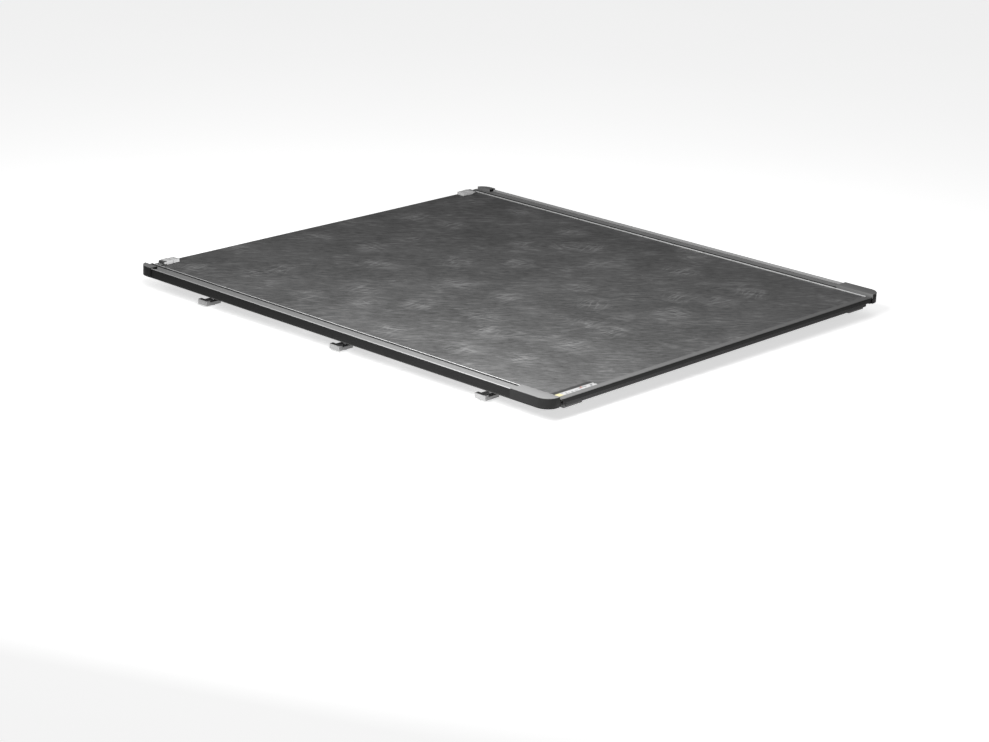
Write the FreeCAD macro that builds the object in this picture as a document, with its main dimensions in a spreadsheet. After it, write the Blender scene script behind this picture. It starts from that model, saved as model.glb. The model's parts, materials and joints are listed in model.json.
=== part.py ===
import FreeCAD, Part
import math
import os
import Sketcher

# Soft roll-up tonneau cover for a short pickup bed, in millimetres.
# +X is the truck's right, +Y is towards the cab, +Z is up. The origin is the centre of the
# bed opening, at the height of the bed rails' tops, on which the two side rails sit.

SIZES = {
    # whole cover
    "cover_width": 1600, "cover_length": 1720, "cap_wall": 3,
    # side rails
    "rail_width": 57, "rail_top": 15, "rail_wall": 3, "lip_height": 12, "lip_width": 6,
    "ledge_reach": 18, "ledge_bottom": 3, "ledge_thickness": 3,
    "seal_width": 46, "seal_thickness": 3, "tape_width": 40, "tape_thickness": 1.2,
    # fabric sheet
    "sheet_thickness": 1.5, "hem_thickness": 4, "hem_width": 45, "seat_gap": 0.3,
    "strip_gap": 0.4, "strip_step": 7, "front_panel": 270, "lip_gap": 4,
    # corner caps
    "rear_cap_length": 140, "front_cap_length": 60, "rear_cap_width": 50,
    "front_cap_width": 29, "cap_top": 2.7, "cap_radius": 40, "fit_gap": 0.3,
    # tail bar and crossbows
    "tail_band": 20, "tail_bar_depth": 50, "tail_band_top": 3.5, "tail_bar_wall": 2,
    "bar_gap": 2, "rest_gap": 0.5, "bow_depth": 38, "bow_wall": 1.5, "tail_seal_drop": 12,
    "tail_seal_depth": 8,
    # header
    "header_depth": 38, "header_wall": 2.5, "header_seal_drop": 10, "header_seal_depth": 14,
    "screw_radius": 2.5, "screw_head": 4.5, "screw_head_height": 2.6, "screw_gap": 0.1,
    # tail latches
    "latch_depth": 20, "latch_length": 79, "latch_width": 38, "bolt_width": 12,
    "bolt_thickness": 4, "bolt_length": 61, "bolt_reach": 11, "bolt_gap": 0.4,
    "pull_length": 12, "pull_width": 10, "latch_travel": 12, "recess_length": 21,
    "pull_place": 6, "latch_place": 31, "spring_radius": 1.7, "spring_wire": 0.9,
    "spring_turns": 6,
    # bed clamps
    "clamp_width": 44, "clamp_drop": 16, "clamp_hook": 4, "clamp_body": 24, "bolt_radius": 4,
    "bolt_clearance": 0.05, "thread_depth": 16, "clamp_bolt_length": 52, "jaw_drop": 36,
    "jaw_thickness": 10, "jaw_reach": 58, "jaw_tooth": 14, "jaw_tooth_height": 6,
    "jaw_heel": 5, "jaw_hole_gap": 0.3, "clamp_head_radius": 6.5, "clamp_head_height": 8,
    "hex_socket": 6, "bolt_offset": 2, "jaw_inset": 2, "clamp_space": 18,
    # storage straps and their buckles
    "buckle_width": 31, "buckle_thickness": 12, "socket_length": 24, "tongue_length": 27,
    "webbing_width": 24, "webbing_thickness": 1.5, "strap_tail": 16, "buckle_arm": 9,
    "buckle_wall": 2.5, "prong_width": 4, "prong_length": 20, "buckle_place": 21,
    "buckle_inset": 114, "tongue_inset": 1, "tongue_gap": 3, "tongue_eye": 3.5, "prong_gap": 0.5,
    "webbing_gap": 0.5, "webbing_inset": 1.8, "webbing_play": 0.4,
    # label
    "label_length": 164, "label_width": 37, "label_thickness": 0.5, "label_inset": 155,
}
STRIPS = 12
BOW_STRIPS = {"rear_crossbow": 3, "middle_crossbow": 6, "front_crossbow": 9}

doc = FreeCAD.newDocument("tonneau_cover")
sheet = doc.addObject("Spreadsheet::Sheet", "Sizes")
for row, (alias, size) in enumerate(SIZES.items(), start=1):
    sheet.set(f"A{row}", alias)
    sheet.set(f"B{row}", str(size))
    sheet.setAlias(f"B{row}", alias)
doc.recompute()


def size(alias):
    """An expression that reads one cell of the sheet."""
    return f"Sizes.{alias}"


ORIGIN = "(0 * 1)"
# Places across the cover (right-hand side), all worked out from the sheet.
HALF = "(Sizes.cover_width / 2)"
RAIL_OUT = f"({HALF} - Sizes.cap_wall)"
RAIL_IN = f"({RAIL_OUT} - Sizes.rail_width)"
LIP_IN = f"({RAIL_OUT} - Sizes.lip_width)"
LEDGE_IN = f"({RAIL_IN} - Sizes.ledge_reach)"
HEM_OUT = f"({LIP_IN} - Sizes.lip_gap)"
HEM_IN = f"({HEM_OUT} - Sizes.hem_width)"
REAR_CAP_IN = f"({HALF} - Sizes.rear_cap_width)"
FRONT_CAP_IN = f"({HALF} - Sizes.front_cap_width)"
TAIL_SIDE = f"({REAR_CAP_IN} - 1.5 * Sizes.bar_gap)"
BAR_SIDE = f"({RAIL_IN} - Sizes.bar_gap)"
# Heights.
LEDGE_TOP = "(Sizes.ledge_bottom + Sizes.ledge_thickness)"
BAR_BOTTOM = f"({LEDGE_TOP} + Sizes.rest_gap)"
SHEET_BOTTOM = "(Sizes.rail_top + Sizes.tape_thickness + Sizes.seat_gap)"
SHEET_TOP = f"({SHEET_BOTTOM} + Sizes.sheet_thickness)"
HEM_TOP = f"({SHEET_BOTTOM} + Sizes.hem_thickness)"
LIP_TOP = "(Sizes.rail_top + Sizes.lip_height)"
CAP_TOP = f"({LIP_TOP} + Sizes.fit_gap + Sizes.cap_top)"
# Places along the cover.
REAR = "(-Sizes.cover_length / 2)"
FRONT = "(Sizes.cover_length / 2)"
PANEL_REAR = f"({FRONT} - Sizes.front_panel)"
REAR_CAP_END = f"({REAR} + Sizes.rear_cap_length)"
FRONT_CAP_END = f"({FRONT} - Sizes.front_cap_length)"
FIRST_STRIP = (f"((Sizes.cover_length - Sizes.tail_band - Sizes.front_panel"
               f" - Sizes.strip_step * {STRIPS * (STRIPS - 1) // 2}) / {STRIPS})")

parts = []


def value(expression):
    return float(sheet.evalExpression(expression.replace("Sizes.", "")))


def keep(piece, label):
    """Marks an object as one of the cover's pieces, under the name that its file gets."""
    piece.Label = label
    parts.append(piece)
    return piece


def bind(piece, place, **sizes):
    for key, expression in sizes.items():
        piece.setExpression(key, expression)
    for axis, expression in zip("xyz", place):
        piece.setExpression(f"Placement.Base.{axis}", expression)
    return piece


def box(name, x, y, z):
    """A box from three (low, high) pairs of expressions."""
    piece = doc.addObject("Part::Box", name)
    bind(piece, (x[0], y[0], z[0]), Length=f"{x[1]} - ({x[0]})",
         Width=f"{y[1]} - ({y[0]})", Height=f"{z[1]} - ({z[0]})")
    return piece


def rod(name, radius, place, length):
    """An upright cylinder that stands on its place."""
    return bind(doc.addObject("Part::Cylinder", name), place, Radius=radius, Height=length)


def cut(name, base, *tools):
    for number, tool in enumerate(tools):
        piece = doc.addObject("Part::Cut", f"{name}_cut{number}")
        piece.Base = base
        piece.Tool = tool
        base = piece
    return base


def fuse(name, *pieces):
    whole = doc.addObject("Part::MultiFuse", f"{name}_fuse")
    whole.Shapes = list(pieces)
    whole.Refine = True
    return whole


def group(name, pieces):
    whole = doc.addObject("Part::Compound", f"{name}_group")
    whole.Links = list(pieces)
    return whole


def mirrored(piece, label):
    """The same piece on the truck's other side."""
    twin = doc.addObject("Part::Mirroring", f"{label}_mirror")
    twin.Source = piece
    twin.Normal = FreeCAD.Vector(1, 0, 0)
    return keep(twin, label)


def both_sides(piece, name):
    keep(piece, f"right_{name}")
    mirrored(piece, f"left_{name}")


def loop(sketch, points):
    """Adds one closed outline whose corners stay bound to their expressions."""
    first = sketch.GeometryCount
    corners = [FreeCAD.Vector(value(a), value(b), 0) for a, b in points]
    count = len(corners)
    for number in range(count):
        sketch.addGeometry(Part.LineSegment(corners[number], corners[(number + 1) % count]))
    for number in range(count):
        sketch.addConstraint(Sketcher.Constraint(
            "Coincident", first + number, 2, first + (number + 1) % count, 1))
    for number, pair in enumerate(points):
        for kind, expression, place in zip(("DistanceX", "DistanceY"), pair, corners[number]):
            made = sketch.addConstraint(
                Sketcher.Constraint(kind, -1, 1, first + number, 1, place))
            sketch.setExpression(f"Constraints[{made}]", expression)


def extrusion(name, plane, low, length, *outlines):
    """A body padded from a sketch: plane XZ_Plane runs along +Y, YZ_Plane along +X."""
    body = doc.addObject("PartDesign::Body", name)
    sketch = body.newObject("Sketcher::SketchObject", f"{name}_section")
    origin_plane = [f for f in body.Origin.OriginFeatures if f.Role == plane][0]
    sketch.AttachmentSupport = [(origin_plane, "")]
    sketch.MapMode = "FlatFace"
    for outline in outlines:
        loop(sketch, outline)
    pad = body.newObject("PartDesign::Pad", f"{name}_pad")
    pad.Profile = sketch
    pad.setExpression("Length", length)
    pad.Reversed = plane == "XZ_Plane"
    axis = "y" if plane == "XZ_Plane" else "x"
    body.setExpression(f"Placement.Base.{axis}", low)
    return body


# Each rounded outer corner: its centre along the cover, and how far its square corner reaches.
CORNER = {"rear": (f"({REAR} + Sizes.cap_radius)", f"{REAR} - 1"),
          "front": (f"({FRONT} - Sizes.cap_radius)", f"{FRONT} + 1")}


def corner_waste(name, radius, end):
    """What lies outside a rounded corner whose centre is the caps' own."""
    x, (y, reach) = f"({HALF} - Sizes.cap_radius)", CORNER[end]
    bottom = "-3 * Sizes.cap_wall"
    square = box(f"{name}_corner", (x, f"{HALF} + 1"), (reach, y) if end == "rear" else (y, reach),
                 (bottom, f"{CAP_TOP} + 1"))
    post = rod(f"{name}_post", radius, (x, y, f"{bottom} - 1"), f"{CAP_TOP} - ({bottom}) + 3")
    return cut(f"{name}_waste", square, post)


def side_rail():
    """One extrusion, written as three solids that touch, so that each keeps a simple shape:
    a box section, the outer lip that stands on it, and the ledge that the bows rest on."""
    wall, top = size("rail_wall"), size("rail_top")
    outline = [(RAIL_IN, ORIGIN), (RAIL_OUT, ORIGIN), (RAIL_OUT, top), (RAIL_IN, top)]
    inner = [
        (f"{RAIL_IN} + {wall}", wall), (f"{RAIL_OUT} - {wall}", wall),
        (f"{RAIL_OUT} - {wall}", f"{top} - {wall}"), (f"{RAIL_IN} + {wall}", f"{top} - {wall}"),
    ]
    end_gap = "(Sizes.cap_wall + Sizes.fit_gap)"
    ends = (f"{REAR} + {end_gap}", f"{FRONT} - {end_gap}")
    section = extrusion("rail", "XZ_Plane", ends[0], f"Sizes.cover_length - 2 * {end_gap}",
                        outline, inner)
    lip = box("rail_lip", (LIP_IN, RAIL_OUT), ends, (top, LIP_TOP))
    radius = "(Sizes.cap_radius - Sizes.cap_wall)"
    waste = [corner_waste(f"rail_{end}", radius, end) for end in CORNER]
    section, lip = cut("rail", section, *waste), cut("rail_lip", lip, *waste)
    ledge = box("rail_ledge", (LEDGE_IN, RAIL_IN), ends, (size("ledge_bottom"), LEDGE_TOP))
    holes = [rod(f"ledge_hole{n}", "Sizes.screw_radius + Sizes.screw_gap",
                 (SCREW_X, y, "Sizes.ledge_bottom - 1"), "Sizes.ledge_thickness + 2")
             for n, y in enumerate(SCREW_Y)]
    both_sides(group("rail", [section, lip, cut("ledge", ledge, *holes)]), "side_rail")


def rail_strips():
    """The rubber strip under each rail, and the hook tape that holds the hem."""
    seal_in = f"{RAIL_OUT} - Sizes.seal_width"
    seal = box("seal", (seal_in, RAIL_OUT), (CORNER["rear"][0], CORNER["front"][0]),
               ("-Sizes.seal_thickness", ORIGIN))
    both_sides(seal, "rail_seal")
    tape = box("tape", (f"{HEM_OUT} - Sizes.tape_width", HEM_OUT),
               (f"{REAR_CAP_END} + Sizes.fit_gap", f"{FRONT_CAP_END} - Sizes.fit_gap"),
               (size("rail_top"), "Sizes.rail_top + Sizes.tape_thickness"))
    both_sides(tape, "hook_tape")


def corner_cap(end, inner, y, inside_y, shut_y):
    """A moulded cap over a rail's end, with one rounded outer corner and a wall of one
    thickness round it. Its open end is shut above the rail, up to the rail's lip."""
    name = f"{end}_cap"
    block = box(f"{name}_block", (inner, HALF), y, ("-0.5 * Sizes.cap_wall", CAP_TOP))
    hollow = box(f"{name}_hollow", (f"{inner} + Sizes.cap_wall", f"{RAIL_OUT} + Sizes.fit_gap"),
                 inside_y, ("-2 * Sizes.cap_wall", f"{LIP_TOP} + Sizes.fit_gap"))
    hollow_radius = "(Sizes.cap_radius - Sizes.cap_wall + Sizes.fit_gap)"
    shut = box(f"{name}_shut", (inner, f"{LIP_IN} - Sizes.fit_gap"), shut_y,
               ("Sizes.rail_top + Sizes.fit_gap", CAP_TOP))
    hollow = cut(f"{name}_hollow", hollow, corner_waste(f"{name}_hollow", hollow_radius, end), shut)
    web = box(f"{name}_web", (f"{inner} - 1", f"{inner} + 2 * Sizes.cap_wall"), inside_y,
              ("-2 * Sizes.cap_wall", "Sizes.rail_top + Sizes.fit_gap"))
    spare = corner_waste(name, size("cap_radius"), end)
    both_sides(cut(name, block, hollow, web, spare), f"{end}_corner_cap")


def sheet_section(side, hem):
    """Right and left halves of the sheet's section: a thin field with a thick hem."""
    return [
        (f"-{side}", SHEET_BOTTOM), (side, SHEET_BOTTOM), (side, HEM_TOP), (hem, HEM_TOP),
        (hem, SHEET_TOP), (f"-{hem}", SHEET_TOP), (f"-{hem}", HEM_TOP), (f"-{side}", HEM_TOP),
    ]


def strip_start(number):
    """Where strip number (0 at the tail) starts, along the cover."""
    return (f"({REAR} + Sizes.tail_band + {number} * {FIRST_STRIP}"
            f" + {number * (number - 1) // 2} * Sizes.strip_step)")


def beside(cap_inner):
    """Half the sheet's width where it runs beside a corner cap."""
    return f"({cap_inner} - Sizes.fit_gap - 1)"


def fabric_sheet():
    """The sheet as strips that bend at their joins; they widen towards the cab, so that
    each turn of the roll lies outside the one before. Strip 2 passes the end of the rear
    caps, and is two solids that touch there: a narrow one and a full-width one."""
    half_gap = "(Sizes.strip_gap / 2)"
    full, beside_cap = sheet_section(HEM_OUT, HEM_IN), sheet_section(beside(REAR_CAP_IN), HEM_IN)
    for number in range(STRIPS):
        name = f"cover_strip_{number + 1:02d}"
        low = f"{strip_start(number)} + {half_gap}"
        length = f"{FIRST_STRIP} + {number} * Sizes.strip_step - Sizes.strip_gap"
        if number == 1:
            step = f"({REAR_CAP_END} + Sizes.bar_gap)"
            rear = extrusion(f"{name}_rear", "XZ_Plane", low, f"{step} - ({low})", beside_cap)
            front = extrusion(f"{name}_front", "XZ_Plane", step,
                              f"{low} + {length} - {step}", full)
            keep(group(name, [rear, front]), name)
        else:
            section = sheet_section(TAIL_SIDE, HEM_IN) if number == 0 else full
            keep(extrusion(name, "XZ_Plane", low, length, section), name)
    panel = extrusion("front_panel_body", "XZ_Plane", f"{PANEL_REAR} + {half_gap}",
                      "Sizes.front_panel - Sizes.strip_gap", full)
    reach, y = beside(FRONT_CAP_IN), (f"{FRONT_CAP_END} - Sizes.bar_gap", f"{FRONT} + 1")
    notches = [box("panel_notch_right", (reach, f"{HALF} + 1"), y, (ORIGIN, CAP_TOP)),
               box("panel_notch_left", (f"-{HALF} - 1", f"-{reach}"), y, (ORIGIN, CAP_TOP))]
    keep(cut("front_panel", panel, *notches), "front_panel")


def tube_section(y, z, wall):
    """Outer and inner outlines of a rectangular tube, for an extrusion along X."""
    outer = [(y[0], z[0]), (y[1], z[0]), (y[1], z[1]), (y[0], z[1])]
    low_y, high_y = f"{y[0]} + {wall}", f"{y[1]} - {wall}"
    low_z, high_z = f"{z[0]} + {wall}", f"{z[1]} - {wall}"
    return outer, [(low_y, low_z), (high_y, low_z), (high_y, high_z), (low_y, high_z)]


def bow_middle(number):
    """The middle of a strip, where its crossbow lies."""
    return f"({strip_start(number)} + ({FIRST_STRIP} + {number} * Sizes.strip_step) / 2)"


def crossbows():
    for name, number in BOW_STRIPS.items():
        middle = bow_middle(number)
        y = (f"{middle} - Sizes.bow_depth / 2", f"{middle} + Sizes.bow_depth / 2")
        bow = extrusion(name, "YZ_Plane", f"-{BAR_SIDE}", f"2 * {BAR_SIDE}",
                        *tube_section(y, (BAR_BOTTOM, SHEET_BOTTOM), size("bow_wall")))
        keep(bow, name)


def tail_bar():
    """A tube under the sheet's end, with a raised band that the sheet butts against."""
    wall = size("tail_bar_wall")
    band_end = f"{REAR} + Sizes.tail_band - {wall} / 2"
    band_top = f"({SHEET_TOP} + Sizes.tail_band_top)"
    back = f"{REAR} + Sizes.tail_bar_depth"
    outer = [
        (REAR, BAR_BOTTOM), (back, BAR_BOTTOM), (back, SHEET_BOTTOM),
        (band_end, SHEET_BOTTOM), (band_end, band_top),
        (f"{REAR} + {wall}", band_top), (REAR, f"{band_top} - {wall}"),
    ]
    inner = tube_section((REAR, back), (BAR_BOTTOM, SHEET_BOTTOM), wall)[1]
    keep(extrusion("tail_bar", "YZ_Plane", f"-{BAR_SIDE}", f"2 * {BAR_SIDE}", outer, inner),
         "tail_bar")
    plugs = []
    for side in ("right", "left"):
        x = (BAR_SIDE, TAIL_SIDE) if side == "right" else (f"-{TAIL_SIDE}", f"-{BAR_SIDE}")
        plugs.append(box(f"{side}_plug", x, (REAR, band_end),
                         ("Sizes.rail_top + Sizes.fit_gap", band_top)))
    keep(group("tail_bar_plugs", plugs), "tail_bar_plugs")
    seal_rear = f"{REAR} + Sizes.tail_bar_wall"
    seal_side = f"({LEDGE_IN} - Sizes.bar_gap)"
    keep(box("tail_seal_block", (f"-{seal_side}", seal_side),
             (seal_rear, f"{seal_rear} + Sizes.tail_seal_depth"),
             (f"{BAR_BOTTOM} - Sizes.tail_seal_drop", BAR_BOTTOM)), "tail_seal")


SCREW_X = f"({RAIL_IN} - Sizes.ledge_reach / 2)"
SCREW_Y = (f"{FRONT} - Sizes.header_depth / 4 - Sizes.cap_wall",
           f"{FRONT} - 3 * Sizes.header_depth / 4 - Sizes.cap_wall")


def header():
    """The bar across the cab end, its foam seal and the screws that hold it to the rails."""
    front = f"{FRONT} - Sizes.cap_wall"
    back = f"({front} - Sizes.header_depth)"
    bar = extrusion("header", "YZ_Plane", f"-{BAR_SIDE}", f"2 * {BAR_SIDE}",
                    *tube_section((back, front), (LEDGE_TOP, SHEET_BOTTOM),
                                  size("header_wall")))
    holes, screws = [], []
    for side in ("", "-"):
        for number, y in enumerate(SCREW_Y):
            name = f"{'left' if side else 'right'}_screw{number}"
            x = f"{side}{SCREW_X}"
            holes.append(rod(f"{name}_hole", "Sizes.screw_radius + Sizes.screw_gap",
                             (x, y, f"{LEDGE_TOP} - 1"), "Sizes.header_wall + 1.5"))
            head = rod(f"{name}_head", size("screw_head"),
                       (x, y, "Sizes.ledge_bottom - Sizes.screw_head_height"),
                       size("screw_head_height"))
            shank = rod(f"{name}_shank", size("screw_radius"),
                        (x, y, "Sizes.ledge_bottom - 1"),
                        "Sizes.ledge_thickness + Sizes.header_wall + 2")
            screws.append(fuse(name, head, shank))
    keep(cut("header_bar", bar, *holes), "header_bar")
    keep(group("header_screws", screws), "header_screws")
    seal_side = f"({LEDGE_IN} - Sizes.bar_gap)"
    middle = f"({front} - Sizes.header_depth / 2)"
    keep(box("header_seal_block", (f"-{seal_side}", seal_side),
             (f"{middle} - Sizes.header_seal_depth / 2",
              f"{middle} + Sizes.header_seal_depth / 2"),
             (f"{LEDGE_TOP} - Sizes.header_seal_drop", LEDGE_TOP)), "header_seal")


# The latch: its bolt slides outwards under the rail's ledge.
BOLT_TOP = "(Sizes.ledge_bottom - Sizes.bolt_gap)"
BOLT_BOTTOM = f"({BOLT_TOP} - Sizes.bolt_thickness)"
BOLT_OUT = f"({LEDGE_IN} + Sizes.bolt_reach)"
BOLT_IN = f"({BOLT_OUT} - Sizes.bolt_length)"
LATCH_Y = f"({REAR} + Sizes.latch_place)"
LATCH_OUT = f"({LEDGE_IN} - Sizes.bar_gap)"
LATCH_IN = f"({LATCH_OUT} - Sizes.latch_length)"
LATCH_BOTTOM = f"({BAR_BOTTOM} - Sizes.latch_depth)"
PULL_IN = f"({BOLT_IN} + Sizes.pull_place)"
SPRING_Z = f"({BOLT_BOTTOM} + Sizes.bolt_thickness / 2)"


def about(middle, width):
    return f"{middle} - {width} / 2", f"{middle} + {width} / 2"


def latch():
    gap = size("bolt_gap")
    body = box("latch_block", (LATCH_IN, LATCH_OUT), about(LATCH_Y, size("latch_width")),
               (LATCH_BOTTOM, BAR_BOTTOM))
    channel = box("latch_channel", (f"{LATCH_IN} + Sizes.cap_wall", f"{LATCH_OUT} + 1"),
                  about(LATCH_Y, f"(Sizes.bolt_width + 2 * {gap})"),
                  (f"{BOLT_BOTTOM} - {gap}", f"{BOLT_TOP} + {gap}"))
    recess_in = f"{PULL_IN} - Sizes.latch_travel - 2 * {gap}"
    recess_out = f"{PULL_IN} + Sizes.pull_length + Sizes.recess_length"
    recess = box("latch_recess", (recess_in, recess_out),
                 about(LATCH_Y, "(Sizes.bolt_width + 2 * Sizes.cap_wall)"),
                 (f"{LATCH_BOTTOM} - 1", f"{BOLT_BOTTOM} - {gap}"))
    both_sides(cut("latch_housing", body, channel, recess), "latch_housing")
    bolt = box("latch_bolt_bar", (BOLT_IN, BOLT_OUT), about(LATCH_Y, size("bolt_width")),
               (BOLT_BOTTOM, BOLT_TOP))
    both_sides(bolt, "latch_bolt")
    pull = box("pull_block", (PULL_IN, f"{PULL_IN} + Sizes.pull_length"),
               about(LATCH_Y, size("pull_width")), (LATCH_BOTTOM, BOLT_BOTTOM))
    both_sides(pull, "release_pull")


def coil_spring():
    """A round-wire coil between the housing's inner wall and the latch bolt."""
    start = value(f"{LATCH_IN} + Sizes.cap_wall")
    wire = value("Sizes.spring_wire")
    length = value(BOLT_IN) - start - 2 * wire
    radius = value("Sizes.spring_radius")
    turns = value("Sizes.spring_turns")
    helix = Part.makeHelix(length / turns, length, radius)
    ring = Part.Circle(FreeCAD.Vector(radius, 0, 0), FreeCAD.Vector(0, 1, 0), wire / 2)
    coil = Part.Wire(helix.Edges).makePipeShell([Part.Wire(ring.toShape())], True, True)
    spring = doc.addObject("Part::Feature", "spring_coil")
    spring.Shape = coil
    spring.Placement = FreeCAD.Placement(
        FreeCAD.Vector(start + wire, value(LATCH_Y), value(SPRING_Z)),
        FreeCAD.Rotation(FreeCAD.Vector(0, 1, 0), 90))
    both_sides(spring, "latch_spring")


CLAMP_IN = f"({LEDGE_IN} - Sizes.clamp_hook * 2)"
CLAMP_BOLT_X = f"({CLAMP_IN} + Sizes.clamp_body / 2 + Sizes.bolt_offset)"
# The rear clamps lie just behind the rear crossbow, clear of it.
CLAMP_PLACES = {
    "rear": (f"{bow_middle(BOW_STRIPS['rear_crossbow'])} - Sizes.bow_depth / 2"
             " - Sizes.clamp_width / 2 - Sizes.clamp_space"),
    "middle": ORIGIN, "front": "0.34 * Sizes.cover_length",
}


def clamps():
    """Each clamp hooks over a rail's ledge; its bolt draws the jaw up under the bed rail."""
    brackets = []
    gap = size("fit_gap")
    bracket_top = f"({BAR_BOTTOM} + Sizes.clamp_hook)"
    block = box("bracket_block", (CLAMP_IN, f"{CLAMP_IN} + Sizes.clamp_body"),
                about(ORIGIN, size("clamp_width")), ("-Sizes.clamp_drop", bracket_top))
    mouth = box("bracket_mouth", (f"{LEDGE_IN} - {gap}", f"{RAIL_IN} + 1"),
                about(ORIGIN, "(Sizes.clamp_width + 2)"),
                (f"Sizes.ledge_bottom - {gap}", f"{LEDGE_TOP} + {gap}"))
    thread = rod("bracket_thread", "Sizes.bolt_radius + Sizes.bolt_clearance",
                 (CLAMP_BOLT_X, ORIGIN, "-Sizes.clamp_drop - 1"), "Sizes.thread_depth + 1")
    bracket = cut("bracket", block, mouth, thread)

    jaw_top = "(-Sizes.jaw_drop)"
    jaw_bottom = f"({jaw_top} - Sizes.jaw_thickness)"
    jaw_out = f"({CLAMP_IN} + Sizes.jaw_reach)"
    jaw_y = about(ORIGIN, "(Sizes.clamp_width - 2 * Sizes.jaw_inset)")
    arm = box("jaw_arm", (CLAMP_IN, jaw_out), jaw_y, (jaw_bottom, jaw_top))
    tooth = box("jaw_tooth_block", (f"{jaw_out} - Sizes.jaw_tooth", jaw_out), jaw_y,
                (jaw_top, f"{jaw_top} + Sizes.jaw_tooth_height"))
    heel = box("jaw_heel_block", (CLAMP_IN, f"{CLAMP_IN} + Sizes.jaw_heel"), jaw_y,
               (jaw_top, "-Sizes.clamp_drop - Sizes.rest_gap"))
    hole = rod("jaw_hole", "Sizes.bolt_radius + Sizes.jaw_hole_gap",
               (CLAMP_BOLT_X, ORIGIN, f"{jaw_bottom} - 1"), "Sizes.jaw_thickness + 2")
    jaw = cut("jaw", fuse("jaw", arm, tooth, heel), hole)

    head_z = f"({jaw_bottom} - Sizes.clamp_head_height)"
    head = rod("clamp_head", size("clamp_head_radius"), (CLAMP_BOLT_X, ORIGIN, head_z),
               size("clamp_head_height"))
    key = doc.addObject("Part::Prism", "hex_key")
    key.Polygon = 6
    bind(key, (CLAMP_BOLT_X, ORIGIN, f"{head_z} - 1"), Circumradius="Sizes.hex_socket / 2",
         Height="Sizes.clamp_head_height / 2 + 1")
    shank = rod("clamp_shank", size("bolt_radius"), (CLAMP_BOLT_X, ORIGIN, f"{jaw_bottom} - 1"),
                "Sizes.clamp_bolt_length - Sizes.clamp_head_height + 1")
    bolt = cut("clamp_bolt", fuse("clamp_bolt", head, shank), key)

    def copy_of(piece, name, side, place):
        source = piece
        if side == "left":
            source = doc.addObject("Part::Mirroring", f"{name}_mirror")
            source.Source = piece
            source.Normal = FreeCAD.Vector(1, 0, 0)
        copied = doc.addObject("App::Link", name)
        copied.LinkedObject = source
        copied.LinkTransform = True
        copied.setExpression("Placement.Base.y", place)
        return copied

    for side in ("left", "right"):
        for spot, place in CLAMP_PLACES.items():
            name = f"{side}_{spot}_clamp"
            brackets.append(copy_of(bracket, f"{name}_bracket", side, place))
            keep(copy_of(jaw, f"{name}_jaw_copy", side, place), f"{name}_jaw")
            keep(copy_of(bolt, f"{name}_bolt_copy", side, place), f"{name}_bolt")
    keep(group("clamp_brackets", brackets), "clamp_brackets")


# The buckles lie across the header, with their webbing at the outer end.
BUCKLE_Y = f"({FRONT} - Sizes.buckle_place)"
BUCKLE_Z = f"({SHEET_TOP} + Sizes.fit_gap)"
BUCKLE_MID = f"({BUCKLE_Z} + Sizes.buckle_thickness / 2)"
BUCKLE_X = f"({HALF} - Sizes.buckle_inset)"
SOCKET_END = f"({BUCKLE_X} + Sizes.socket_length)"
ARM_END = f"({SOCKET_END} + Sizes.buckle_arm)"


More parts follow.
